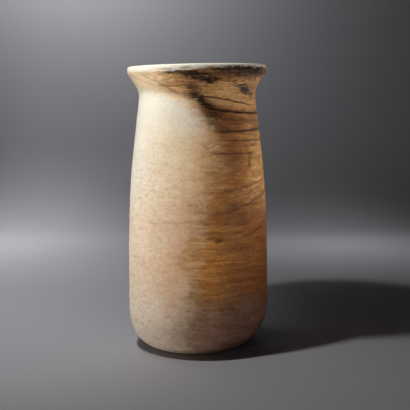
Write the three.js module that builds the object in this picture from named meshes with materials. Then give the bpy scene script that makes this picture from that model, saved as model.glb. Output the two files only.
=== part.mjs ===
// A stone vase cut from one block of banded alabaster: a rounded foot, a gently tapering body,
// a flared rim with a rounded lip, and a drilled hollow that is open at the mouth.
// Millimetres, +Z up. The origin is on the underside, on the axis of the body.
import * as THREE from "three";

// Outside
const height = 210; // underside to the top of the rim
const footRadius = 29; // flat disc that the vase stands on
const footRise = 30; // height over which the foot rounds up into the body
const bellyRadius = 53; // widest part of the body, just above the foot
const neckRadius = 42.5; // where the lines of the body and the flare meet
const neckDepth = 18; // from the top of the rim down to that meeting
const neckTaper = 7; // degrees that the body leans in at the neck
const neckRounding = 6.5; // reach of the soft curve to each side of the meeting
const lipRadius = 51.5; // outermost edge of the rim
const lipHeight = 4.6; // upright band of the lip
const lipRounding = 1.8; // reach of its softened edges

// Hollow
const wall = 8; // thickness of the body's wall
const lipWidth = 7; // width of the rim's top
const floorThickness = 14; // stone left under the hollow

// Hand work: the rim and the foot aren't true to the axis
const rimTilt = 0.7; // degrees by which the rim rises towards +X
const tiltStart = 95; // height where the stone starts to lean
const footShift = 2.5; // how far the standing disc lies towards -X

// Fullness of the body's curve, as shares of its length
const lowerFullness = 0.6;
const upperFullness = 0.33;

// Facets
const facetsAround = 72;
const footSteps = 8;
const bodySteps = 10;
const cornerSteps = 4;

const neckHeight = height - neckDepth;
const lipCorner = Math.min(lipRounding, lipHeight / 2, lipWidth / 2);

// A soft corner between two straight runs of the profile.
function softCorner(before, corner, after, reach) {
  const towards = (end) => corner.clone().add(end.clone().sub(corner).setLength(reach));
  return new THREE.QuadraticBezierCurve(towards(before), corner, towards(after));
}

// One face of the wall, from the foot up through the neck to the start of the flare.
// Inset is its distance in from the outside, and base is the height of its lowest point.
function wallFace(inset, base, flareEnd) {
  const sideRadius = bellyRadius - inset;
  const rise = footRise - inset;
  const foot = new THREE.EllipseCurve(
    footRadius, base + rise, sideRadius - footRadius, rise, -Math.PI / 2, 0,
  );

  const taper = THREE.MathUtils.degToRad(neckTaper);
  const down = new THREE.Vector2(Math.sin(taper), -Math.cos(taper));
  const meeting = new THREE.Vector2(neckRadius - inset, neckHeight);
  const belly = new THREE.Vector2(sideRadius, base + rise);
  const bodyEnd = meeting.clone().addScaledVector(down, neckRounding);
  const length = bodyEnd.y - belly.y;
  const body = new THREE.CubicBezierCurve(
    belly,
    new THREE.Vector2(sideRadius, belly.y + lowerFullness * length),
    bodyEnd.clone().addScaledVector(down, upperFullness * length),
    bodyEnd,
  );
  const neck = softCorner(bodyEnd, meeting, flareEnd, neckRounding);

  return [
    ...foot.getPoints(footSteps),
    ...body.getPoints(bodySteps).slice(1),
    ...neck.getPoints(cornerSteps).slice(1),
  ];
}

// The closed section of the stone, from the axis underneath to the axis in the hollow.
function section() {
  const lipUnderside = new THREE.Vector2(lipRadius, height - lipHeight);
  const lipTop = new THREE.Vector2(lipRadius, height);
  const mouthEdge = new THREE.Vector2(lipRadius - lipWidth, height);
  const outside = wallFace(0, 0, lipUnderside);
  const inside = wallFace(wall, floorThickness, mouthEdge).reverse();

  const rim = [outside.at(-1), lipUnderside, lipTop, mouthEdge, inside[0]];
  const lip = [1, 2, 3].flatMap((i) =>
    softCorner(rim[i - 1], rim[i], rim[i + 1], lipCorner).getPoints(cornerSteps));

  const underside = new THREE.Vector2(0, 0);
  const hollowFloor = new THREE.Vector2(0, floorThickness);
  return [underside, ...outside, ...lip, ...inside, hollowFloor];
}

// Tilts the rim and shifts the foot of the turned shape, whose axis is still its Y axis.
function cutByHand(geometry) {
  const position = geometry.getAttribute("position");
  const slope = Math.tan(THREE.MathUtils.degToRad(rimTilt));
  for (let i = 0; i < position.count; i++) {
    const x = position.getX(i);
    const up = position.getY(i);
    const atRim = THREE.MathUtils.smoothstep(up, tiltStart, neckHeight);
    const atFoot = 1 - THREE.MathUtils.smoothstep(up, 0, footRise);
    position.setX(i, x - footShift * atFoot);
    position.setY(i, up + slope * x * atRim);
  }
  geometry.computeVertexNormals();
  return geometry;
}

const alabaster = new THREE.MeshStandardMaterial({
  color: 0xd8bf9a,
  roughness: 0.8,
  metalness: 0,
});

const turned = new THREE.LatheGeometry(section(), facetsAround);
const vase = new THREE.Mesh(cutByHand(turned), alabaster);
vase.name = "vase";
vase.rotation.x = Math.PI / 2; // stands the axis upright

const model = new THREE.Group();
model.add(vase);

export default model;
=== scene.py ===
# Weathered vase of banded alabaster, lit from the left on a plain pale floor
import math
import bpy
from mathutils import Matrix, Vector, noise


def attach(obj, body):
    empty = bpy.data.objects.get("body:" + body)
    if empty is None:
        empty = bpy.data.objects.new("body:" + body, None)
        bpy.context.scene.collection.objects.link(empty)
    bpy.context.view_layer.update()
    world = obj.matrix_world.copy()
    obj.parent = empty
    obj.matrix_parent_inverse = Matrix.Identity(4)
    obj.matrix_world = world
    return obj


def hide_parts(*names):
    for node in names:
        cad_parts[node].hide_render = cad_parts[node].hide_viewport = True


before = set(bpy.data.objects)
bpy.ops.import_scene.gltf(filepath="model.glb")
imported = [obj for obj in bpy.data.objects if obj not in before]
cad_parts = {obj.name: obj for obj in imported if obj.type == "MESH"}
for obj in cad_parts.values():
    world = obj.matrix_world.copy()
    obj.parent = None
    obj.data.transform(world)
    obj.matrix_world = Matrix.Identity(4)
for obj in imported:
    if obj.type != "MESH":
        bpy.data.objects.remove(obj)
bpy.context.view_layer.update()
print("model loaded")


# helpers for node trees

def addNode(tree, kind, inputs=None, **settings):
    made = tree.nodes.new(kind)
    for name, value in settings.items():
        setattr(made, name, value)
    for name, value in (inputs or {}).items():
        plug(tree, value, made.inputs[name])
    return made


def plug(tree, value, socket):
    if isinstance(value, bpy.types.NodeSocket):
        tree.links.new(value, socket)
    else:
        socket.default_value = value


def calc(tree, operation, a, b=0.0, c=0.0, clamp=False):
    made = addNode(tree, "ShaderNodeMath", {0: a, 1: b}, operation=operation, use_clamp=clamp)
    if operation in ("MULTIPLY_ADD", "SMOOTH_MAX", "SMOOTH_MIN"):
        plug(tree, c, made.inputs[2])
    return made.outputs[0]


def fade(tree, value, start, end, low=0.0, high=1.0):   # smooth change from low to high
    made = addNode(tree, "ShaderNodeMapRange", {"Value": value, "From Min": start, "From Max": end,
                                                "To Min": low, "To Max": high},
                   interpolation_type="SMOOTHSTEP")
    return made.outputs["Result"]


def blendColour(tree, share, a, b, mode="MIX"):
    made = addNode(tree, "ShaderNodeMix", data_type="RGBA", blend_type=mode)
    for socket, value in ((made.inputs["Factor"], share), (made.inputs[6], a), (made.inputs[7], b)):
        plug(tree, value, socket)
    return made.outputs[2]


def blendShare(tree, share, value):   # from 1 to the value as the share grows
    return calc(tree, "MULTIPLY_ADD", calc(tree, "SUBTRACT", value, 1.0), share, 1.0)


def ramp(tree, value, stops):
    made = addNode(tree, "ShaderNodeValToRGB", {"Fac": value})
    made.color_ramp.interpolation = "EASE"
    while len(made.color_ramp.elements) < len(stops):
        made.color_ramp.elements.new(0.5)
    for element, (place, colour) in zip(made.color_ramp.elements, stops):
        element.position = place
        element.color = colour
    return made.outputs["Color"]


def noiseOf(tree, vector, values):   # noise from -0.5 to 0.5
    scale, detail, roughness = values
    stretched = addNode(tree, "ShaderNodeMapping", {"Vector": vector, "Scale": scale})
    made = addNode(tree, "ShaderNodeTexNoise", {"Vector": stretched.outputs["Vector"], "Scale": 1.0,
                                                "Detail": detail, "Roughness": roughness})
    return calc(tree, "SUBTRACT", made.outputs["Fac"], 0.5)


def newGroup(name, inputs, outputs):
    group = bpy.data.node_groups.new(name, "ShaderNodeTree")
    for label, kind, start in inputs:
        socket = group.interface.new_socket(label, in_out="INPUT", socket_type="NodeSocket" + kind)
        if start is not None:
            socket.default_value = start
    for label, kind in outputs:
        group.interface.new_socket(label, in_out="OUTPUT", socket_type="NodeSocket" + kind)
    given = group.nodes.new("NodeGroupInput").outputs
    result = group.nodes.new("NodeGroupOutput").inputs
    return group, given, result


def useGroup(tree, group, inputs):
    made = addNode(tree, "ShaderNodeGroup", node_tree=group)
    for name, value in inputs.items():
        plug(tree, value, made.inputs[name])
    return made.outputs


# camera, at the height of the shoulder and looking slightly down

cameraSettings = {
    "distance": 0.62,
    "height": 0.184,
    "tiltDown": 7.14,
    "turnRight": 0.55,
    "roll": 0.32,
    "lens": 72.5,
    "clipStart": 0.01,
}


def addCamera(s):
    turn = (math.radians(90 - s["tiltDown"]), math.radians(s["roll"]), -math.radians(s["turnRight"]))
    bpy.ops.object.camera_add(location=(0, -s["distance"], s["height"]), rotation=turn)
    camera = bpy.context.object
    camera.data.lens = s["lens"]
    camera.data.clip_start = s["clipStart"]
    bpy.context.scene.camera = camera


addCamera(cameraSettings)
print("camera placed")


# floor that curves up behind, and soft studio light

studioSettings = {
    "floorHalf": 3.0,
    "wallDistance": 0.66,
    "wallHeight": 2.0,
    "bendRadius": 0.12,
    "bendSegments": 24,
    "floorColour": (0.368, 0.37, 0.405, 1),
    "floorRoughness": 0.85,
    "worldColour": (0.80, 0.86, 1.0, 1),
    "worldStrength": 0.007,
}

# where each lamp stands: degrees round from the right-hand side and up, metres from the point it aims at
lightSettings = {
    "keyLight": {"around": -140, "up": 57, "away": 0.30, "aim": (0, 0, 0.15), "size": 0.024, "spread": 180,
                 "power": 0.72, "colour": (1.0, 0.97, 0.93)},
    "leftLight": {"around": -142, "up": -7.8, "away": 0.6, "aim": (0, 0, 0.098), "size": 0.03, "spread": 30,
                  "power": 0.052, "colour": (1.0, 0.97, 0.93)},
    "flareLight": {"around": -142, "up": -40, "away": 0.24, "aim": (0, 0, 0.242), "size": 0.05, "spread": 24,
                   "power": 0.0046, "colour": (1.0, 0.92, 0.80)},
    "rightLight": {"around": -30, "up": -13, "away": 0.36, "aim": (0, 0, 0.155), "size": 0.08, "spread": 48,
                   "power": 0.033, "colour": (1.0, 0.91, 0.80)},
    "edgeLight": {"around": 25, "up": -12, "away": 0.36, "aim": (0, 0, 0.19), "size": 0.08, "spread": 44,
                  "power": 0.016, "colour": (1.0, 0.93, 0.84)},
    "coveLight": {"around": -165, "up": 62, "away": 0.6, "aim": (-0.24, 0.42, 0), "size": 0.2, "spread": 54,
                  "power": 0.38, "colour": (1.0, 0.98, 0.97)},
    "wallLight": {"around": -100, "up": 5, "away": 0.4, "aim": (-0.17, 0.66, 0.47), "size": 0.2,
                  "spread": 100, "power": 0.72, "colour": (1.0, 0.98, 0.97)},
    "leftCoveLight": {"around": 90, "up": 90, "away": 0.5, "aim": (-0.26, 0.54, 0), "size": 0.1, "spread": 44,
                      "power": 0.05, "colour": (1.0, 0.98, 0.97)},
    "rightCoveLight": {"around": 90, "up": 90, "away": 0.5, "aim": (0.19, 0.43, 0), "size": 0.1, "spread": 50,
                       "power": 0.08, "colour": (1.0, 0.98, 0.97)},
    "floorLight": {"around": 90, "up": 90, "away": 0.7, "aim": (-0.20, 0.10, 0), "size": 0.1, "spread": 46,
                   "power": 0.13, "colour": (0.97, 0.97, 1.0)},
}


def deselect():
    bpy.ops.object.select_all(action="DESELECT")


def addFloor(s):
    deselect()
    bpy.ops.mesh.primitive_plane_add(size=2 * s["floorHalf"], location=(0, 0, 0))
    floor = bpy.context.object
    floor.name = "studioFloor"
    bpy.ops.object.mode_set(mode="EDIT")
    bpy.ops.mesh.select_all(action="SELECT")
    bpy.ops.mesh.bisect(plane_co=(0, s["wallDistance"], 0), plane_no=(0, 1, 0), clear_outer=True)
    bpy.ops.mesh.select_all(action="DESELECT")
    bpy.ops.mesh.select_mode(type="EDGE")
    bpy.ops.object.mode_set(mode="OBJECT")
    for edge in floor.data.edges:
        ends = [floor.data.vertices[i].co.y for i in edge.vertices]
        edge.select = min(ends) > s["wallDistance"] / 2   # the edge where the floor was cut
    bpy.ops.object.mode_set(mode="EDIT")
    bpy.ops.mesh.extrude_region_move(TRANSFORM_OT_translate={"value": (0, 0, s["wallHeight"])})
    bpy.ops.object.mode_set(mode="OBJECT")
    bend = floor.modifiers.new("bend", "BEVEL")
    bend.width = s["bendRadius"]
    bend.segments = s["bendSegments"]
    bend.affect = "EDGES"
    bend.limit_method = "ANGLE"
    bpy.ops.object.modifier_apply(modifier=bend.name)
    bpy.ops.object.shade_smooth()
    paper = bpy.data.materials.new("palePaper")
    paper.use_nodes = True
    shader = paper.node_tree.nodes["Principled BSDF"]
    shader.inputs["Base Color"].default_value = s["floorColour"]
    shader.inputs["Roughness"].default_value = s["floorRoughness"]
    floor.data.materials.append(paper)


def addLight(name, s):
    around, up = math.radians(s["around"]), math.radians(s["up"])
    towards = Vector((math.cos(around) * math.cos(up), math.sin(around) * math.cos(up), math.sin(up)))
    place = Vector(s["aim"]) + towards * s["away"]
    bpy.ops.object.light_add(type="AREA", location=place, rotation=towards.to_track_quat("Z", "Y").to_euler())
    lamp = bpy.context.object
    lamp.name = name
    lamp.visible_camera = False
    lamp.data.shape = "DISK"
    lamp.data.size = s["size"]
    lamp.data.spread = math.radians(s["spread"])
    lamp.data.energy = s["power"]
    lamp.data.color = s["colour"]


def addStudio(s, lights):
    addFloor(s)
    for name, values in lights.items():
        addLight(name, values)
    scene = bpy.context.scene
    scene.world = scene.world or bpy.data.worlds.new("studioWorld")
    scene.world.use_nodes = True
    sky = scene.world.node_tree.nodes["Background"]
    sky.inputs["Color"].default_value = s["worldColour"]
    sky.inputs["Strength"].default_value = s["worldStrength"]
    scene.view_settings.view_transform = "Standard"


addStudio(studioSettings, lightSettings)
print("studio ready")


# the vase: the turned form, subdivided and then worn. Angles are degrees from the front, positive to
# the right, heights are millimetres up from the underside, and depths and sizes are millimetres.

vaseSettings = {
    "node": "vase",
    "weld": 0.01,                # points closer than this are joined
    "hollowFrom": 10,            # the hollow's wall lies above this height
    "hollowFloor": 100,          # and what faces up below this height is its floor
    "facingUp": 0.2,
    "longEdge": 6,               # outside rows longer than this are divided
    "rowCuts": 2,
    "smoothLevels": 2,
    "reliefs": [
        {"name": "unevenness", "texture": "CLOUDS", "size": 34, "depth": 0.25, "contrast": 1.3},
        {"name": "erosion", "texture": "CLOUDS", "size": 3.5, "depth": 0.2, "contrast": 1.6},
        {"name": "pits", "texture": "VORONOI", "size": 2.2, "depth": 0.22, "contrast": 2.2},
        {"name": "grit", "texture": "CLOUDS", "size": 1.5, "depth": 0.18, "contrast": 2.0},
    ],
    "scar": {"angle": -55, "height": 27.5, "halfWide": 5, "halfHigh": 5.5, "depth": 0.5, "line": 0.28},
    "chips": [
        {"angle": 44, "height": 208.3, "halfWide": 4, "halfHigh": 1.3, "depth": 0.75},
        {"angle": 36, "height": 206.8, "halfWide": 3, "halfHigh": 1.0, "depth": 0.6},
        {"angle": 55, "height": 207.2, "halfWide": 5, "halfHigh": 1.5, "depth": 0.7},
        {"angle": -8, "height": 206.4, "halfWide": 4, "halfHigh": 1.2, "depth": 0.5},
        {"angle": 12, "height": 207.0, "halfWide": 5, "halfHigh": 1.1, "depth": 0.5},
        {"angle": -24, "height": 205.6, "halfWide": 5, "halfHigh": 1.2, "depth": 0.4},
        {"angle": -118, "height": 209.0, "halfWide": 6, "halfHigh": 2.2, "depth": 0.75},
        {"angle": 152, "height": 209.4, "halfWide": 5, "halfHigh": 1.8, "depth": 0.7},
        {"angle": 31, "height": 110, "halfWide": 2.5, "halfHigh": 1.4, "depth": 0.4},
        {"angle": 17, "height": 87, "halfWide": 3.5, "halfHigh": 1.6, "depth": 0.45},
    ],
    "rilling": {"spacing": 3.4, "depth": 0.35},   # drill rings in the hollow
    # where the reliefs work: heights, then angles, over which they fade
    "aboveFoot": (1, 12),
    "belowRim": (206, 203),
    "low": (150, 95),
    "left": (35, -25),
    "leftBehind": (-180, -140),
    "patchScale": 45,
    "noiseDepth": 2,
    "erosion": {"least": 0.15, "high": 0.2, "low": 0.8, "patches": 2},
    "pits": {"high": 0.15, "patches": 2, "gaps": 0.4},
    "grit": {"least": 0.35, "left": 0.65, "high": 0.3, "low": 0.7},
}

mm = 0.001


def smooth(value, start, end):
    t = min(max((value - start) / (end - start), 0), 1)
    return t * t * (3 - 2 * t)


def placeOf(point):
    return math.degrees(math.atan2(point.x, -point.y)), point.z / mm


def duplicateNode(name, newName):
    deselect()
    piece = bpy.data.objects.new(newName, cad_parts[name].data.copy())
    bpy.context.scene.collection.objects.link(piece)
    bpy.context.view_layer.objects.active = piece
    piece.select_set(True)
    piece.data.materials.clear()
    return piece


def applyModifier(piece, kind, **values):
    modifier = piece.modifiers.new(kind.lower(), kind)
    for name, value in values.items():
        setattr(modifier, name, value)
    bpy.ops.object.modifier_apply(modifier=modifier.name)


def divideRows(piece, s):
    bpy.ops.object.mode_set(mode="EDIT")
    bpy.ops.mesh.select_all(action="SELECT")
    bpy.ops.mesh.remove_doubles(threshold=s["weld"] * mm)
    bpy.ops.mesh.tris_convert_to_quads()
    bpy.ops.mesh.select_all(action="DESELECT")
    bpy.ops.mesh.select_mode(type="EDGE")
    bpy.ops.object.mode_set(mode="OBJECT")
    mesh = piece.data
    outward = [False] * len(mesh.edges)
    for face in mesh.polygons:
        if face.normal.x * face.center.x + face.normal.y * face.center.y > 0:
            for loop in face.loop_indices:
                outward[mesh.loops[loop].edge_index] = True
    for edge in mesh.edges:
        low, high = (mesh.vertices[i].co.z for i in edge.vertices)
        edge.select = outward[edge.index] and abs(high - low) > s["longEdge"] * mm
    bpy.ops.object.mode_set(mode="EDIT")
    bpy.ops.mesh.subdivide(number_cuts=s["rowCuts"])
    bpy.ops.object.mode_set(mode="OBJECT")


def isHollow(vertex, s):   # the wall's inner face looks back at the axis, the floor looks up
    inwards = vertex.normal.x * vertex.co.x + vertex.normal.y * vertex.co.y < 0
    onWall = inwards and vertex.co.z > s["hollowFrom"] * mm
    onFloor = vertex.normal.z > s["facingUp"] and vertex.co.z < s["hollowFloor"] * mm
    return onWall or onFloor


def ovalDistance(angle, height, s):   # 0 at the middle of an oval, 1 on its edge
    return math.hypot((angle - s["angle"]) / s["halfWide"], (height - s["height"]) / s["halfHigh"])


def spot(angle, height, s, edge=0.35):   # 1 at the middle of an oval, 0 outside it
    return 1 - smooth(ovalDistance(angle, height, s), 1 - edge, 1 + edge)


def wearAt(vertex, s):   # how strongly each relief works at a point of the surface
    angle, height = placeOf(vertex.co)
    inHollow = isHollow(vertex, s)
    outside = 0 if inHollow else 1
    body = outside * smooth(height, *s["aboveFoot"]) * smooth(height, *s["belowRim"])
    left = min(smooth(angle, *s["left"]), smooth(angle, *s["leftBehind"]))
    low = smooth(height, *s["low"])
    patchy = 0.5 + noise.noise(vertex.co * s["patchScale"])
    fromRing = abs(ovalDistance(angle, height, s["scar"]) - 1)
    chip = max(spot(angle, height, c) * c["depth"] for c in s["chips"])
    e, p, g = s["erosion"], s["pits"], s["grit"]
    grit = g["least"] + g["left"] * left * (g["high"] + g["low"] * low)
    ring = math.sin(2 * math.pi * height / s["rilling"]["spacing"])
    return {
        "unevenness": body,
        "erosion": body * min(1, e["least"] + left * (e["high"] + e["low"] * low) * e["patches"] * patchy),
        "pits": body * min(1, max(0, left * (p["high"] + low) * (patchy * p["patches"] - p["gaps"]))),
        "grit": outside * smooth(height, *s["aboveFoot"]) * grit,
        "scar": outside * max(0, 1 - fromRing / s["scar"]["line"]),
        "chips": outside * chip,
        "rilling": 0.5 + 0.5 * ring if inHollow else 0,
    }


def storeMask(piece, name, values):
    piece.data.attributes.new(name, "FLOAT", "POINT").data.foreach_set("value", values)


def addWeights(piece, s):
    weights = [wearAt(v, s) for v in piece.data.vertices]
    for name in weights[0]:
        group = piece.vertex_groups.new(name=name)
        for index, weight in enumerate(weights):
            if weight[name] > 0:
                group.add([index], weight[name], "REPLACE")


def wear(piece, s):
    hollow = [1.0 if isHollow(v, s) else 0.0 for v in piece.data.vertices]
    before = [v.co.copy() for v in piece.data.vertices]
    normals = [v.normal.copy() for v in piece.data.vertices]
    addWeights(piece, s)
    for relief in s["reliefs"]:
        pattern = bpy.data.textures.new(relief["name"], relief["texture"])
        pattern.noise_scale = relief["size"] * mm
        pattern.contrast = relief["contrast"]
        if relief["texture"] == "CLOUDS":
            pattern.noise_depth = s["noiseDepth"]
        applyModifier(piece, "DISPLACE", texture=pattern, texture_coords="LOCAL", direction="NORMAL",
                      mid_level=1.0, strength=relief["depth"] * mm, vertex_group=relief["name"])
    for name, depth in (("scar", s["scar"]["depth"]), ("chips", 1.0), ("rilling", s["rilling"]["depth"])):
        applyModifier(piece, "DISPLACE", direction="NORMAL", mid_level=0.0, strength=-depth * mm,
                      vertex_group=name)
    piece.vertex_groups.clear()
    lost = [(a - v.co).dot(n) / mm for a, n, v in zip(before, normals, piece.data.vertices)]
    storeMask(piece, "hollow", hollow)
    storeMask(piece, "lost", lost)   # millimetres of stone worn away
    print("deepest wear", round(max(lost), 2), "mm")


def makeVase(s):
    piece = duplicateNode(s["node"], "alabasterVase")
    divideRows(piece, s)
    applyModifier(piece, "SUBSURF", levels=s["smoothLevels"], render_levels=s["smoothLevels"])
    print("vase subdivided,", len(piece.data.polygons), "faces")
    wear(piece, s)
    bpy.ops.object.shade_smooth()
    return piece


vase = makeVase(vaseSettings)
print("vase worn")


# shared patterns of the stone

patternSettings = {
    "swelling": 1.6,             # how much a vein thickens and thins along its way
    "leastWidth": 0.05,
    "start": (-0.06, 0.08),      # shares of a vein's way over which it begins
    "end": (0.85, 1.05, 1, 0),
    "gaps": (-0.34, -0.12),
    "core": (0.35, 1, 1, 0),     # widths away from the middle of a vein
    "fringe": (0.6, 2.3, 1, 0),
    "tone": ((22, 22, 420), 4.0, 0.6),   # scale, detail and roughness of the layers
    "broad": ((12, 12, 75), 3.0, 0.5),
    "fine": ((16, 16, 190), 2.5, 0.45),
    "line": (0, 0.022, 1, 0),
}


def makePlaceGroup():   # where a point lies: angle from the front and height
    group, given, result = newGroup("surfacePlace", [("Position", "Vector", None)],
                                    [("Angle", "Float"), ("Height", "Float")])
    axis = addNode(group, "ShaderNodeSeparateXYZ", {"Vector": given["Position"]}).outputs
    turn = calc(group, "ARCTAN2", axis["X"], calc(group, "MULTIPLY", axis["Y"], -1.0))
    plug(group, calc(group, "DEGREES", turn), result["Angle"])
    plug(group, calc(group, "DIVIDE", axis["Z"], mm), result["Height"])
    return group


def makeVeinGroup(s):   # a thin wavy line that runs round the surface
    inputs = [("Angle", "Float", 0.0), ("Height", "Float", 0.0), ("Wobble", "Float", 0.0),
              ("Breaks", "Float", 0.0), ("From", "Float", 0.0), ("To", "Float", 90.0),
              ("Level", "Float", 100.0), ("Rise", "Float", 0.0), ("Sag", "Float", 0.0),
              ("Wave", "Float", 3.0), ("Width", "Float", 1.0), ("Strength", "Float", 1.0)]
    group, given, result = newGroup("vein", inputs, [("Mask", "Float"), ("Fringe", "Float")])
    length = calc(group, "SUBTRACT", given["To"], given["From"])
    along = calc(group, "DIVIDE", calc(group, "SUBTRACT", given["Angle"], given["From"]), length)
    bow = calc(group, "MULTIPLY", along, calc(group, "SUBTRACT", 1.0, along))
    bow = calc(group, "MULTIPLY", bow, 4.0)   # 1 half way along
    line = calc(group, "MULTIPLY_ADD", along, given["Rise"], given["Level"])
    line = calc(group, "SUBTRACT", line, calc(group, "MULTIPLY", bow, given["Sag"]))
    line = calc(group, "MULTIPLY_ADD", given["Wobble"], given["Wave"], line)
    away = calc(group, "ABSOLUTE", calc(group, "SUBTRACT", given["Height"], line))
    width = calc(group, "MULTIPLY_ADD", given["Breaks"], s["swelling"], 1.0)
    width = calc(group, "MULTIPLY", given["Width"], width)
    away = calc(group, "DIVIDE", away, calc(group, "MAXIMUM", width, s["leastWidth"]))
    ends = calc(group, "MULTIPLY", fade(group, along, *s["start"]), fade(group, along, *s["end"]))
    drawn = calc(group, "MULTIPLY", calc(group, "MULTIPLY", ends, given["Strength"]),
                 fade(group, given["Breaks"], *s["gaps"]))
    plug(group, calc(group, "MULTIPLY", drawn, fade(group, away, *s["core"])), result["Mask"])
    plug(group, calc(group, "MULTIPLY", drawn, fade(group, away, *s["fringe"])), result["Fringe"])
    return group


def makeStainGroup():   # a soft oval patch with a ragged edge, that can lean
    inputs = [("Angle", "Float", 0.0), ("Height", "Float", 0.0), ("Ragged", "Float", 0.0),
              ("At Angle", "Float", 0.0), ("At Height", "Float", 100.0), ("Half Angle", "Float", 10.0),
              ("Half Height", "Float", 5.0), ("Lean", "Float", 0.0), ("Edge", "Float", 0.5),
              ("Roughness", "Float", 1.5), ("Strength", "Float", 1.0)]
    group, given, result = newGroup("stain", inputs, [("Mask", "Float")])
    side = calc(group, "SUBTRACT", given["Angle"], given["At Angle"])
    up = calc(group, "SUBTRACT", given["Height"], given["At Height"])
    up = calc(group, "SUBTRACT", up, calc(group, "MULTIPLY", side, given["Lean"]))
    side = calc(group, "DIVIDE", side, given["Half Angle"])
    up = calc(group, "DIVIDE", up, given["Half Height"])
    square = calc(group, "MULTIPLY_ADD", side, side, calc(group, "MULTIPLY", up, up))
    away = calc(group, "MULTIPLY_ADD", given["Ragged"], given["Roughness"], calc(group, "SQRT", square))
    inner = calc(group, "SUBTRACT", 1.0, given["Edge"])
    outer = calc(group, "ADD", 1.0, given["Edge"])
    mask = fade(group, away, inner, outer, 1.0, 0.0)
    plug(group, calc(group, "MULTIPLY", mask, given["Strength"]), result["Mask"])
    return group


def makeLayersGroup(s):   # the layers that run through the block, as tone and as thin lines
    group, given, result = newGroup("stoneLayers", [("Position", "Vector", None), ("Warp", "Float", 0.0)],
                                    [("Tone", "Float"), ("Lines", "Float"), ("Broad", "Float")])
    lift = addNode(group, "ShaderNodeCombineXYZ", {"Z": given["Warp"]}).outputs["Vector"]
    bent = addNode(group, "ShaderNodeVectorMath", {0: given["Position"], 1: lift}).outputs["Vector"]
    plug(group, noiseOf(group, bent, s["tone"]), result["Tone"])
    plug(group, noiseOf(group, bent, s["broad"]), result["Broad"])
    fine = calc(group, "ABSOLUTE", noiseOf(group, bent, s["fine"]))
    plug(group, fade(group, fine, *s["line"]), result["Lines"])
    return group


# the stone's colours. Faded ranges are (from, to) or (from, to, value there, value there)

def rows(names, *lines):   # a dictionary for each line of values
    return [dict(zip(names, line)) for line in lines]


veinNames = ("From", "To", "Level", "Rise", "Sag", "Wave", "Width", "Strength")
stainNames = ("At Angle", "At Height", "Half Angle", "Half Height", "Lean", "Edge", "Strength")

# white of the lime flecks and of the rim's top, partly painted highlight
limeAndHighlightColour = (0.88, 0.84, 0.74, 1)
brownColour = (0.13, 0.045, 0.018, 1)

stoneSettings = {
    "name": "weatheredAlabaster",
    "warp": 0.012,               # metres by which the layers wander up and down
    "cloudRise": 34,             # millimetres by which the zones' limits wander
    "grains": {                  # scale, detail and roughness of each noise
        "wander": ((16, 16, 16), 2.0, 0.5),
        "ragged": ((130, 130, 300), 5.0, 0.65),
        "crumbly": ((260, 260, 900), 5.0, 0.75),
        "dashes": ((90, 90, 560), 5.0, 0.75),
        "cloud": ((55, 55, 55), 4.0, 0.6),
        "speck": ((240, 240, 480), 5.0, 0.7),
        "fleck": ((650, 650, 1300), 3.0, 0.7),
        "powder": ((1500, 1500, 1500), 2.0, 0.6),
        "wobble": ((60, 60, 20), 3.0, 0.5),
        "breaks": ((110, 110, 110), 2.0, 0.5),
        "blotches": ((55, 55, 120), 4.0, 0.65),
        "patches": ((110, 110, 190), 5.0, 0.7),
    },
}

skinSettings = {
    # where the weathered skin gives way to bare banded stone: height, angle
    "edge": [(0, -2), (37, -4), (55, -4), (70, -4), (90, 1), (110, 7), (130, 17), (150, 20),
             (168, 20), (175, 14), (180, 8), (185, 1), (190, -12), (194, -27), (203, -40)],
    "height": 210.0,             # reach of the edge's curve up the vase and round it
    "angles": 180.0,
    "backEdge": 138,             # angle behind where the skin starts again
    "backWander": 150,
    "backLimit": 148,
    "backRate": 3.0,
    "ragged": 38,
    "bare": (-20, 8),            # degrees past the edge over which the stone becomes bare
    "rampSpan": (-80, 40),       # degrees past the edge at the two ends of the colours below
    "hidden": (88, 125),         # the side and the back are plainer
    "hiddenWander": 0.9,
    "hiddenRise": 0.34,
    "cloudShift": 0.28,
    "upperColours": [(0.00, (0.94, 0.88, 0.75, 1)), (0.18, (0.92, 0.79, 0.59, 1)),
                     (0.36, (0.87, 0.68, 0.45, 1)), (0.50, (0.77, 0.52, 0.30, 1)),
                     (0.63, (0.58, 0.33, 0.145, 1)), (0.75, (0.49, 0.20, 0.055, 1)),
                     (0.88, (0.62, 0.29, 0.085, 1)), (1.00, (0.78, 0.42, 0.15, 1))],
    "lowerColours": [(0.00, (0.84, 0.73, 0.57, 1)), (0.25, (0.78, 0.62, 0.45, 1)),
                     (0.42, (0.74, 0.54, 0.37, 1)), (0.54, (0.70, 0.45, 0.27, 1)),
                     (0.66, (0.57, 0.31, 0.135, 1)), (0.76, (0.55, 0.235, 0.060, 1)),
                     (1.00, (0.56, 0.21, 0.055, 1))],
    "footColours": [(0.00, (0.86, 0.77, 0.63, 1)), (0.28, (0.80, 0.67, 0.53, 1)),
                    (0.44, (0.73, 0.58, 0.45, 1)), (0.57, (0.54, 0.40, 0.28, 1)),
                    (0.70, (0.41, 0.245, 0.155, 1)), (0.85, (0.42, 0.22, 0.145, 1)),
                    (1.00, (0.43, 0.225, 0.15, 1))],
    "lowerZone": (132, 92),      # heights over which the upper colours turn into the lower ones
    "footZone": (55, 30),
    "neckZone": (150, 178),
    "neckPast": (-4, -26, 0, 0.85),
    "neckColour": (0.82, 0.79, 0.70, 1),
}

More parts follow.
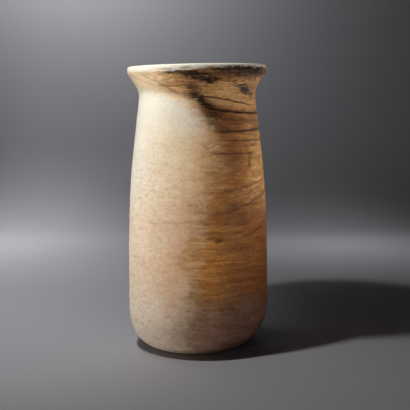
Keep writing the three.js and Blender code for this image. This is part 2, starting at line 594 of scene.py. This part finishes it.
# tan and honey under the rim, painted where the rim's shadow falls: partly the stone's colour, partly painted
# glow of light through the lip
flareSettings = {
    "backWander": 60,
    "backEdge": 148,
    "backRate": 2.2,
    "line": (-62, 8, 193.5, 182),   # the tan starts on a line that falls to the right, along the edge of the rim's cast shadow
    "ragged": 3,
    "soft": (-2, 2),
    "honeyUp": (1, 8, 0.25, 1),     # millimetres above that line, deeper in the rim's shadow
    "honeyRight": (-6, 6),
    "honeyLeft": (-50, -8),
    "share": 0.9,
    "flareTanAndGlowColour": (0.90, 0.71, 0.47, 1),
    "honeyAndGlowColour": (0.98, 0.57, 0.235, 1),
}

bandSettings = {
    "tone": (-0.25, 0.25, 0.62, 1.3),
    "broad": (-0.2, 0.2, 0.78, 1.2),
    "onBare": (0.25, 0.9, 0.10, 0.85),
    "onFoot": (32, 58, 0.35, 1),
    "blotches": (-0.2, 0.2, 0.72, 1.2),
    "crumbs": (-0.2, 0.2, 0.74, 1.24),
    "redPower": 0.8,             # dark bands are redder than pale ones
    "bluePower": 1.25,
    "linesOnBare": (0.5, 0.9),
    "lineShare": 0.35,
    "brownColour": brownColour,
}

fleckSettings = {
    "footCrust": 0.25,           # how much of the skin is left on the bare stone of the foot
    "onHeight": (178, 115, 0.12, 1),
    "fine": 0.7,
    "pink": (0.02, 0.22),
    "pinkShare": 0.8,
    "patch": (0.02, 0.2),
    "patchShare": 0.55,
    # white flecks, partly painted highlights of the rough surface
    "limeAndHighlight": (-0.06, -0.24),
    "limeAndHighlightShare": 0.6,
    "pinkColour": (0.60, 0.38, 0.26, 1),
    "limeAndHighlightColour": limeAndHighlightColour,
}

markSettings = {
    "jag": 2.5,
    "smudgeCrumbs": 0.6,
    "smudgeDashes": 1.3,
    "smudgeFlecks": 0.4,
    "grey": (0.1, -0.1),
    "streaks": (0.03, 0.10, 0, 0.9),
    "brownShare": 0.8,
    "fringeShare": 0.38,
    "softEdge": 2.0,             # how ragged the stains are
    "greyEdge": 3.0,
    "sootEdge": 3.4,
    "greyColour": (0.66, 0.60, 0.50, 1),
    "glowColour": (0.96, 0.56, 0.26, 1),
    "brownColour": brownColour,
    "fringeColour": (0.27, 0.095, 0.040, 1),
    "veinColour": (0.060, 0.022, 0.013, 1),
    "hazeColour": (0.10, 0.038, 0.020, 1),
    "sootColour": (0.026, 0.012, 0.010, 1),
    "veins": rows(
        veinNames,
        (7, 120, 179.3, -3, 2.2, 3.5, 1.3, 1.0),
        (2, 64, 188.3, -7, 0, 2.5, 0.6, 0.95),
        (22, 50, 172.5, -2, 0, 9, 0.8, 0.5),
        (28, 76, 168.5, 1, 0, 9, 0.7, 0.5),
        (15, 108, 163.6, 2.5, 1.5, 3, 1.3, 0.85),
        (23, 94, 157.6, 0, 1.5, 4, 0.8, 0.7),
        (20, 70, 153, 0, 0.5, 3, 0.6, 0.45),
        (11, 58, 148.5, -1, 0.5, 2, 0.7, 0.7),
        (18, 100, 121, 10, 0, 4, 1.1, 0.5),
        (24, 90, 116, 14, 1, 6, 1.0, 0.35),
        (12, 110, 104.5, 22, 0, 5, 1.5, 0.45),
        (30, 120, 88, 20, 2, 6, 1.2, 0.35),
        (-50, 4, 98.5, 3, 0, 5, 1.2, 0.08),
        (-76, -40, 204, -9, 0, 2, 0.9, 0.16),
        (-50, -14, 203, -15, 0, 2, 1.0, 0.16),
    ),
    "greyStains": rows(
        stainNames,
        (4, 113, 3.6, 3.4, 0, 0.7, 0.8),
        (2, 104, 4.5, 2.4, 0, 0.8, 0.55),
        (-38, 84, 14, 4, 0, 0.8, 0.3),
    ),
    "glowStains": rows(          # honey-coloured stone between the dark lines of the neck, brightened as painted glow of light shining through the stone
        stainNames,
        (35, 183.4, 23, 3.6, -0.07, 0.5, 0.85),
        (52, 175.5, 20, 2.2, 0, 0.6, 0.4),
    ),
    "brownStainsAndShade": rows(
        stainNames,
        (40, 203.5, 42, 5, 0, 0.5, 0.9),
        (31, 142, 12, 5, 0, 0.8, 0.35),
        (48, 169, 40, 5, 0, 0.7, 0.35),
        (62, 193.5, 16, 3.6, 0, 0.7, 0.7),
        (-1, 193, 8, 7, 0, 0.8, 0.4),
        (12, 180, 10, 5, -0.4, 0.7, 0.45),
        (24, 165, 8, 8, 0, 0.8, 0.35),
        (44, 106, 30, 9, 0.22, 0.8, 0.4),
        # this wide patch low on the right is partly painted shade of that shaded side
        (66, 66, 28, 38, 0, 0.8, 0.5),
        (3, 31, 7, 10, 0, 1.0, 0.25),
        (49.5, 140.5, 1.6, 4, 0, 0.6, 0.8),
        (17, 87, 3.5, 1.6, 0, 0.6, 0.9),
        (34, 91.5, 6, 1.2, 0, 0.6, 0.7),
    ),
    "streakedStains": rows(
        stainNames,
        (36, 158, 26, 22, 0, 0.5, 1.0),
        (48, 170, 36, 7, 0, 0.5, 1.0),
        (9, 176, 18, 9, -0.45, 0.6, 1.0),
        (50, 198, 50, 8, 0, 0.6, 1.0),
        (44, 108, 30, 14, 0.22, 0.6, 0.7),
    ),
    "hazeStains": rows(          # brown smoke round the dark smudges
        stainNames,
        (-2, 200, 17, 4, -0.15, 0.8, 0.6),
        (-3, 191, 7, 7, 0, 0.8, 0.4),
        (12, 177, 12, 7, -0.3, 0.8, 0.45),
        (42, 203.5, 40, 4, 0, 0.7, 0.4),
        (34, 142, 12, 5, 0, 0.9, 0.15),
        (42, 107, 26, 7, 0.2, 0.9, 0.12),
    ),
    "sootStains": rows(
        stainNames,
        (-16, 205.2, 11, 1.6, -0.05, 0.6, 0.85),
        (-4, 203.4, 11, 2.6, -0.15, 0.5, 0.95),
        (7, 200.2, 12, 3.0, -0.15, 0.5, 1.0),
        (52, 206.8, 36, 3.9, 0, 0.5, 0.95),
        (52, 192.3, 7, 2.8, -0.2, 0.5, 1.0),
        (43, 194.8, 5, 1.2, 0, 0.5, 0.8),
        (64, 188.5, 5, 1.6, 0, 0.6, 0.7),
        (-6, 194.5, 6, 2.4, 0, 0.8, 0.7),
        (-2.5, 189.5, 4.5, 3, 0, 0.7, 0.8),
        (4.5, 185, 5.5, 3, -0.25, 0.5, 0.95),
        (10.5, 180, 6, 2.8, -0.25, 0.5, 0.85),
        (15, 174.5, 8, 3, -0.25, 0.6, 0.75),
        (19, 168, 9, 3.6, -0.2, 0.7, 0.6),
        (33, 171, 14, 3, 0, 0.9, 0.3),
        (29, 110.5, 8, 1.6, 0.2, 0.8, 0.45),
    ),
}

# white along the rim's top: partly whitish stone, partly painted highlight of the lit lip
rimSettings = {
    "line": (-30, 45, 205.2, 208.6),   # the white of the rim starts higher to the right
    "jag": 6,
    "soft": (-0.5, 0.6, 0, 0.95),
    "limeAndHighlightColour": limeAndHighlightColour,
}

hollowSettings = {
    "layers": (-0.2, 0.2),
    "darkDust": (0.42, 0.27, 0.14, 1),
    "paleDust": (0.60, 0.46, 0.30, 1),
    "inside": (209, 200, 0.3, 0.9),
}

surfaceSettings = {
    "shade": (-0.3, 0.3, 0.86, 1.09),
    "wearShade": (0.25, 0.8, 1, 0.92),
    "gloss": 0.2,
    "roughness": (0.2, 1, 0.88, 0.6),
    "roughPowder": 0.5,
    "pitted": (0.3, 0.9, 1, 0.25),
    "bumpPowder": 0.4,
    "bumpStrength": 0.4,
    "bumpDistance": 0.0005,
}


def times(tree, a, b):
    return calc(tree, "MULTIPLY", a, b)


def largest(tree, group, shared, spots, output="Mask"):   # the strongest of several veins or stains
    masks = [useGroup(tree, group, {**shared, **values})[output] for values in spots]
    total = masks[0]
    for mask in masks[1:]:
        total = calc(tree, "MAXIMUM", total, mask)
    return total


def makePatterns(tree, s):   # places, masks and noises that all the colours share
    position = addNode(tree, "ShaderNodeTexCoord").outputs["Object"]
    p = {}
    p["angle"], p["height"] = useGroup(tree, makePlaceGroup(), {"Position": position})
    for name in ("lost", "hollow"):
        p[name] = addNode(tree, "ShaderNodeAttribute", attribute_name=name).outputs["Fac"]
    for name, values in s["grains"].items():
        p[name] = noiseOf(tree, position, values)
    warp = times(tree, p["wander"], s["warp"])
    p["layers"] = useGroup(tree, makeLayersGroup(patternSettings), {"Position": position, "Warp": warp})
    p["cloudy"] = calc(tree, "MULTIPLY_ADD", p["cloud"], s["cloudRise"], p["height"])
    p["flecks"] = calc(tree, "MULTIPLY_ADD", p["fleck"], fleckSettings["fine"], p["speck"])
    return p


def boundary(tree, height, s):   # the angle where the weathered skin ends, at each height
    curve = tree.nodes.new("ShaderNodeFloatCurve")
    line = curve.mapping.curves[0]
    while len(line.points) < len(s["edge"]):
        line.points.new(0.5, 0.5)
    for point, (level, angle) in zip(line.points, s["edge"]):
        point.location = (level / s["height"], angle / s["angles"] + 0.5)
    curve.mapping.update()
    plug(tree, calc(tree, "DIVIDE", height, s["height"]), curve.inputs["Value"])
    return times(tree, calc(tree, "SUBTRACT", curve.outputs["Value"], 0.5), s["angles"])


def addSkin(tree, p, s):   # cream skin that turns to bare brown stone towards the right
    past = calc(tree, "SUBTRACT", p["angle"], boundary(tree, p["height"], s))
    backEdge = calc(tree, "MULTIPLY_ADD", p["wander"], s["backWander"], s["backEdge"])
    backEdge = calc(tree, "MINIMUM", backEdge, s["backLimit"])
    behind = times(tree, calc(tree, "SUBTRACT", backEdge, p["angle"]), s["backRate"])
    past = calc(tree, "MULTIPLY_ADD", p["ragged"], s["ragged"], calc(tree, "MINIMUM", past, behind))
    p["bare"] = fade(tree, past, *s["bare"])

    first, last = s["rampSpan"]
    share = calc(tree, "DIVIDE", calc(tree, "SUBTRACT", past, first), last - first)
    share = calc(tree, "MAXIMUM", share, 0.0)
    hidden = fade(tree, calc(tree, "ABSOLUTE", p["angle"]), *s["hidden"])
    lift = calc(tree, "MULTIPLY_ADD", p["wander"], s["hiddenWander"], s["hiddenRise"])
    share = calc(tree, "MULTIPLY_ADD", hidden, lift, share)
    share = calc(tree, "MULTIPLY_ADD", p["cloud"], s["cloudShift"], share, clamp=True)

    colour = blendColour(tree, fade(tree, p["cloudy"], *s["lowerZone"]),
                         ramp(tree, share, s["upperColours"]), ramp(tree, share, s["lowerColours"]))
    p["foot"] = fade(tree, p["cloudy"], *s["footZone"])
    colour = blendColour(tree, p["foot"], colour, ramp(tree, share, s["footColours"]))
    neck = times(tree, fade(tree, p["cloudy"], *s["neckZone"]), fade(tree, past, *s["neckPast"]))
    return blendColour(tree, neck, colour, s["neckColour"])


def addFlare(tree, p, s, colour):   # tan and honey colour under the rim where its shadow falls: partly the stone's colour, partly painted glow of light passing through the lip
    side = calc(tree, "MULTIPLY_ADD", p["wander"], s["backWander"], s["backEdge"])
    side = times(tree, calc(tree, "SUBTRACT", side, p["angle"]), s["backRate"])
    side = calc(tree, "MINIMUM", p["angle"], side)
    up = calc(tree, "MULTIPLY_ADD", p["ragged"], s["ragged"], p["height"])
    up = calc(tree, "SUBTRACT", up, fade(tree, side, *s["line"]))
    honey = calc(tree, "MAXIMUM", fade(tree, up, *s["honeyUp"]), fade(tree, side, *s["honeyRight"]))
    honey = times(tree, honey, fade(tree, side, *s["honeyLeft"]))
    # painted glow of light through the lip, warmest deep in the rim's shadow, over the stone's tan
    tan = blendColour(tree, honey, s["flareTanAndGlowColour"], s["honeyAndGlowColour"])
    return blendColour(tree, times(tree, fade(tree, up, *s["soft"]), s["share"]), colour, tan)


def addBands(tree, p, s, colour):   # the layers of the stone, strongest where it is bare
    banding = times(tree, fade(tree, p["layers"]["Tone"], *s["tone"]),
                    fade(tree, p["layers"]["Broad"], *s["broad"]))
    onStone = times(tree, fade(tree, p["bare"], *s["onBare"]), fade(tree, p["cloudy"], *s["onFoot"]))
    banding = blendShare(tree, onStone, banding)
    blotches = times(tree, fade(tree, p["blotches"], *s["blotches"]), fade(tree, p["crumbly"], *s["crumbs"]))
    banding = times(tree, banding, blendShare(tree, p["bare"], blotches))
    bandColour = addNode(tree, "ShaderNodeCombineColor",
                         {"Red": calc(tree, "POWER", banding, s["redPower"]), "Green": banding,
                          "Blue": calc(tree, "POWER", banding, s["bluePower"])})
    colour = blendColour(tree, 1.0, colour, bandColour.outputs["Color"], "MULTIPLY")
    lineShare = times(tree, fade(tree, p["bare"], *s["linesOnBare"]), s["lineShare"])
    return blendColour(tree, times(tree, p["layers"]["Lines"], lineShare), colour, s["brownColour"])


def addFlecks(tree, p, s, colour):   # pink and white flecks in the skin; the white ones are partly painted highlights of the rough surface
    skin = calc(tree, "SUBTRACT", 1.0, p["bare"])
    crust = calc(tree, "MAXIMUM", skin, times(tree, p["foot"], s["footCrust"]))
    crust = times(tree, crust, fade(tree, p["height"], *s["onHeight"]))
    for source, name, target in (("flecks", "pink", "pinkColour"), ("patches", "patch", "pinkColour"),
                                 ("flecks", "limeAndHighlight", "limeAndHighlightColour")):
        share = times(tree, fade(tree, p[source], *s[name]), times(tree, crust, s[name + "Share"]))
        colour = blendColour(tree, share, colour, s[target])
    return colour


def addMarks(tree, p, s, colour):   # stains, streaks, veins and soot
    veinGroup = makeVeinGroup(patternSettings)
    stainGroup = makeStainGroup()
    place = {"Angle": p["angle"], "Height": p["height"]}
    soft = {**place, "Ragged": p["ragged"], "Roughness": s["softEdge"]}
    crumbled = {**place, "Ragged": p["crumbly"], "Roughness": s["greyEdge"]}
    grey = times(tree, largest(tree, stainGroup, crumbled, s["greyStains"]),
                 fade(tree, p["flecks"], *s["grey"]))
    colour = blendColour(tree, grey, colour, s["greyColour"])
    # painted glow of light through the stone, over the honey-coloured neck
    colour = blendColour(tree, largest(tree, stainGroup, soft, s["glowStains"]), colour, s["glowColour"])
    # brown stains; the wide one low on the right is partly painted shade
    brown = times(tree, largest(tree, stainGroup, soft, s["brownStainsAndShade"]), s["brownShare"])
    colour = blendColour(tree, brown, colour, s["brownColour"])
    streaks = times(tree, fade(tree, p["dashes"], *s["streaks"]),
                    largest(tree, stainGroup, soft, s["streakedStains"]))
    colour = blendColour(tree, streaks, colour, s["fringeColour"])

    jagged = {"Angle": p["angle"], "Height": calc(tree, "MULTIPLY_ADD", p["crumbly"], s["jag"], p["height"]),
              "Wobble": p["wobble"], "Breaks": p["breaks"]}
    fringe = times(tree, largest(tree, veinGroup, jagged, s["veins"], "Fringe"), s["fringeShare"])
    colour = blendColour(tree, fringe, colour, s["fringeColour"])
    colour = blendColour(tree, largest(tree, veinGroup, jagged, s["veins"]), colour, s["veinColour"])

    smudge = times(tree, p["fleck"], s["smudgeFlecks"])
    smudge = calc(tree, "MULTIPLY_ADD", p["dashes"], s["smudgeDashes"], smudge)
    smudge = calc(tree, "MULTIPLY_ADD", p["crumbly"], s["smudgeCrumbs"], smudge)
    smoky = {**place, "Ragged": smudge, "Roughness": s["sootEdge"]}
    colour = blendColour(tree, largest(tree, stainGroup, smoky, s["hazeStains"]), colour, s["hazeColour"])
    return blendColour(tree, largest(tree, stainGroup, smoky, s["sootStains"]), colour, s["sootColour"])


def addRim(tree, p, s, colour):   # white along the top of the rim: partly whitish stone, partly painted highlight where the light falls on the lip
    line = calc(tree, "MULTIPLY_ADD", p["crumbly"], s["jag"], fade(tree, p["angle"], *s["line"]))
    above = calc(tree, "SUBTRACT", p["height"], line)
    return blendColour(tree, fade(tree, above, *s["soft"]), colour, s["limeAndHighlightColour"])


def addHollow(tree, p, s, colour):   # the hollow is dusty and plainer
    dust = blendColour(tree, fade(tree, p["layers"]["Broad"], *s["layers"]), s["darkDust"], s["paleDust"])
    inside = times(tree, p["hollow"], fade(tree, p["height"], *s["inside"]))
    return blendColour(tree, inside, colour, dust)


def addShade(tree, p, s, colour):   # fine shading by the grain and by the depth of the wear
    shade = fade(tree, calc(tree, "ADD", p["powder"], p["fleck"]), *s["shade"])
    shade = times(tree, shade, fade(tree, p["lost"], *s["wearShade"]))
    shade = addNode(tree, "ShaderNodeCombineColor", {"Red": shade, "Green": shade, "Blue": shade})
    return blendColour(tree, 1.0, colour, shade.outputs["Color"], "MULTIPLY")


def makeStone(s):
    stone = bpy.data.materials.new(s["name"])
    stone.use_nodes = True
    tree = stone.node_tree
    shader = tree.nodes["Principled BSDF"]
    p = makePatterns(tree, s)
    colour = addSkin(tree, p, skinSettings)
    for addLayer, values in ((addFlare, flareSettings), (addBands, bandSettings), (addFlecks, fleckSettings),
                             (addMarks, markSettings), (addRim, rimSettings), (addHollow, hollowSettings),
                             (addShade, surfaceSettings)):
        colour = addLayer(tree, p, values, colour)
    plug(tree, colour, shader.inputs["Base Color"])

    surface = surfaceSettings
    shader.inputs["Specular IOR Level"].default_value = surface["gloss"]
    rough = calc(tree, "MULTIPLY_ADD", p["powder"], surface["roughPowder"], p["bare"])
    plug(tree, fade(tree, rough, *surface["roughness"]), shader.inputs["Roughness"])
    pitted = times(tree, p["speck"], fade(tree, p["bare"], *surface["pitted"]))
    pitted = calc(tree, "MULTIPLY_ADD", p["powder"], surface["bumpPowder"], pitted)
    bump = addNode(tree, "ShaderNodeBump", {"Strength": surface["bumpStrength"],
                                            "Distance": surface["bumpDistance"], "Height": pitted})
    plug(tree, bump.outputs["Normal"], shader.inputs["Normal"])
    return stone


vase.data.materials.append(makeStone(stoneSettings))
print("stone finished")

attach(vase, "root")
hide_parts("vase")
